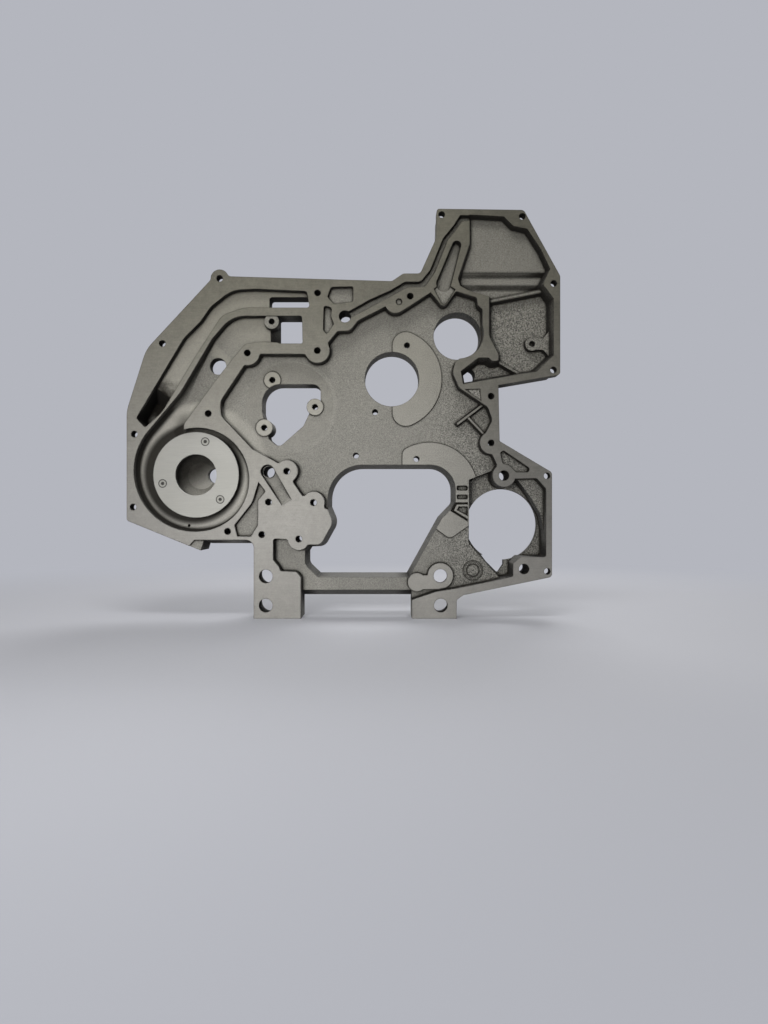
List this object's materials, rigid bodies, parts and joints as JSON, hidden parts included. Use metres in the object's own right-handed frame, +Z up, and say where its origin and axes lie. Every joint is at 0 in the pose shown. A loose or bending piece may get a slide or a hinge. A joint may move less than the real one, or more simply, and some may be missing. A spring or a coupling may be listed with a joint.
{
  "type": "front gear housing",
  "caption": "Flat cast gear housing with an open gear space, a scroll-shaped water pump chamber, coolant channels and a crank opening between mounting legs.",
  "frame": {"origin": "where the axis of the idler bore meets the face that bolts to the block", "axes": "+Y from the front cover face to the engine block, +Z up, +X to the right as seen from the front"},
  "size_m": [0.737, 0.072, 0.6969],
  "materials": {
    "casting": "shot-blasted casting with machined faces",
    "turned_plate": "turned",
    "screws": "plain steel"
  },
  "bodies": {
    "root": {"housing": "casting", "wear_plate": "turned_plate", "plate_screws": "screws"}
  },
  "joints": []
}
